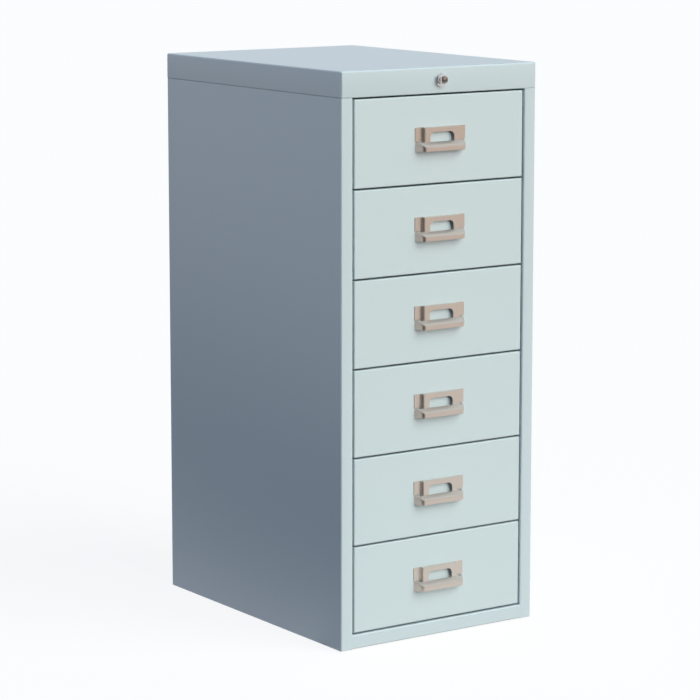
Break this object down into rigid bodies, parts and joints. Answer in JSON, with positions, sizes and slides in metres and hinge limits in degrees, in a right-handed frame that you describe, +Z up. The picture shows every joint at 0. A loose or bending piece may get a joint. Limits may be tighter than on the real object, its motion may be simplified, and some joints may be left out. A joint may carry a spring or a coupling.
{
  "type": "small metal drawer cabinet",
  "caption": "Slim upright steel cabinet with shallow drawers on ball slides, pressed pulls with label windows, and one lock that bars all the drawers.",
  "frame": {"origin": "on the floor, under the middle of the whole cabinet with its pulls", "axes": "+Z up, the drawer fronts face -Y, +X is on the right as seen from the front"},
  "size_m": [0.279, 0.3898, 0.673],
  "materials": {
    "cabinet_paint": "satin powder coat, pale grey blue",
    "front_paint": "satin powder coat, pale grey blue",
    "pull_nickel": "warm satin nickel plate",
    "lock_chrome": "bright chrome",
    "zinc_steel": "zinc plated",
    "ball_steel": "polished hard steel",
    "black_plastic": "moulded",
    "buffer_rubber": "moulded"
  },
  "bodies": {
    "carcass": {"side_left": "cabinet_paint", "side_right": "cabinet_paint", "back_panel": "cabinet_paint", "base_pan": "cabinet_paint", "foot_glides": "black_plastic", "top_cap": "cabinet_paint", "lock_rail": "cabinet_paint", "lock_housing": "lock_chrome", "lock_nut": "zinc_steel", "rod_bearing": "zinc_steel", "bar_guides": "zinc_steel", "runners_left": "zinc_steel", "runners_right": "zinc_steel", "rear_buffers": "buffer_rubber"},
    "lock_core": {"lock_plug": "lock_chrome", "lock_rod": "zinc_steel", "lock_cam": "zinc_steel"},
    "lock_bar": {"lock_bar": "zinc_steel"},
    "drawer_1": {"drawer_1_front": "front_paint", "drawer_1_tray": "front_paint", "drawer_1_ends": "front_paint", "drawer_1_pull": "pull_nickel", "drawer_1_catch": "zinc_steel"},
    "ball_slides_1": {"drawer_1_ball_cages": "zinc_steel", "drawer_1_balls": "ball_steel"},
    "drawer_2": {"drawer_2_front": "front_paint", "drawer_2_tray": "front_paint", "drawer_2_ends": "front_paint", "drawer_2_pull": "pull_nickel", "drawer_2_catch": "zinc_steel"},
    "ball_slides_2": {"drawer_2_ball_cages": "zinc_steel", "drawer_2_balls": "ball_steel"},
    "drawer_3": {"drawer_3_front": "front_paint", "drawer_3_tray": "front_paint", "drawer_3_ends": "front_paint", "drawer_3_pull": "pull_nickel", "drawer_3_catch": "zinc_steel"},
    "ball_slides_3": {"drawer_3_ball_cages": "zinc_steel", "drawer_3_balls": "ball_steel"},
    "drawer_4": {"drawer_4_front": "front_paint", "drawer_4_tray": "front_paint", "drawer_4_ends": "front_paint", "drawer_4_pull": "pull_nickel", "drawer_4_catch": "zinc_steel"},
    "ball_slides_4": {"drawer_4_ball_cages": "zinc_steel", "drawer_4_balls": "ball_steel"},
    "drawer_5": {"drawer_5_front": "front_paint", "drawer_5_tray": "front_paint", "drawer_5_ends": "front_paint", "drawer_5_pull": "pull_nickel", "drawer_5_catch": "zinc_steel"},
    "ball_slides_5": {"drawer_5_ball_cages": "zinc_steel", "drawer_5_balls": "ball_steel"},
    "drawer_6": {"drawer_6_front": "front_paint", "drawer_6_tray": "front_paint", "drawer_6_ends": "front_paint", "drawer_6_pull": "pull_nickel", "drawer_6_catch": "zinc_steel"},
    "ball_slides_6": {"drawer_6_ball_cages": "zinc_steel", "drawer_6_balls": "ball_steel"}
  },
  "joints": [
    {"name": "drawer_1_slide", "type": "slide", "parent": "carcass", "child": "drawer_1", "axis": [0, -1, 0], "range_m": [0, 0.25]},
    {"name": "ball_slides_1_roll", "type": "slide", "parent": "carcass", "child": "ball_slides_1", "axis": [0, -1, 0], "range_m": [0, 0.125]},
    {"name": "drawer_2_slide", "type": "slide", "parent": "carcass", "child": "drawer_2", "axis": [0, -1, 0], "range_m": [0, 0.25]},
    {"name": "ball_slides_2_roll", "type": "slide", "parent": "carcass", "child": "ball_slides_2", "axis": [0, -1, 0], "range_m": [0, 0.125]},
    {"name": "drawer_3_slide", "type": "slide", "parent": "carcass", "child": "drawer_3", "axis": [0, -1, 0], "range_m": [0, 0.25]},
    {"name": "ball_slides_3_roll", "type": "slide", "parent": "carcass", "child": "ball_slides_3", "axis": [0, -1, 0], "range_m": [0, 0.125]},
    {"name": "drawer_4_slide", "type": "slide", "parent": "carcass", "child": "drawer_4", "axis": [0, -1, 0], "range_m": [0, 0.25]},
    {"name": "ball_slides_4_roll", "type": "slide", "parent": "carcass", "child": "ball_slides_4", "axis": [0, -1, 0], "range_m": [0, 0.125]},
    {"name": "drawer_5_slide", "type": "slide", "parent": "carcass", "child": "drawer_5", "axis": [0, -1, 0], "range_m": [0, 0.25]},
    {"name": "ball_slides_5_roll", "type": "slide", "parent": "carcass", "child": "ball_slides_5", "axis": [0, -1, 0], "range_m": [0, 0.125]},
    {"name": "drawer_6_slide", "type": "slide", "parent": "carcass", "child": "drawer_6", "axis": [0, -1, 0], "range_m": [0, 0.25]},
    {"name": "ball_slides_6_roll", "type": "slide", "parent": "carcass", "child": "ball_slides_6", "axis": [0, -1, 0], "range_m": [0, 0.125]},
    {"name": "lock_turn", "type": "hinge", "parent": "carcass", "child": "lock_core", "pos_m": [0, -0.18505, 0.658], "axis": [0, -1, 0], "range_deg": [0, 90]},
    {"name": "lock_bar_lift", "type": "slide", "parent": "carcass", "child": "lock_bar", "axis": [0, 0, 1], "range_m": [0, 0.0099]}
  ],
  "couplings": [
    {"joint": "ball_slides_1_roll", "follows": "drawer_1_slide", "ratio": 0.5},
    {"joint": "ball_slides_2_roll", "follows": "drawer_2_slide", "ratio": 0.5},
    {"joint": "ball_slides_3_roll", "follows": "drawer_3_slide", "ratio": 0.5},
    {"joint": "ball_slides_4_roll", "follows": "drawer_4_slide", "ratio": 0.5},
    {"joint": "ball_slides_5_roll", "follows": "drawer_5_slide", "ratio": 0.5},
    {"joint": "ball_slides_6_roll", "follows": "drawer_6_slide", "ratio": 0.5},
    {"joint": "lock_turn", "follows": "lock_bar_lift", "rad_per_m": 158.66}
  ]
}
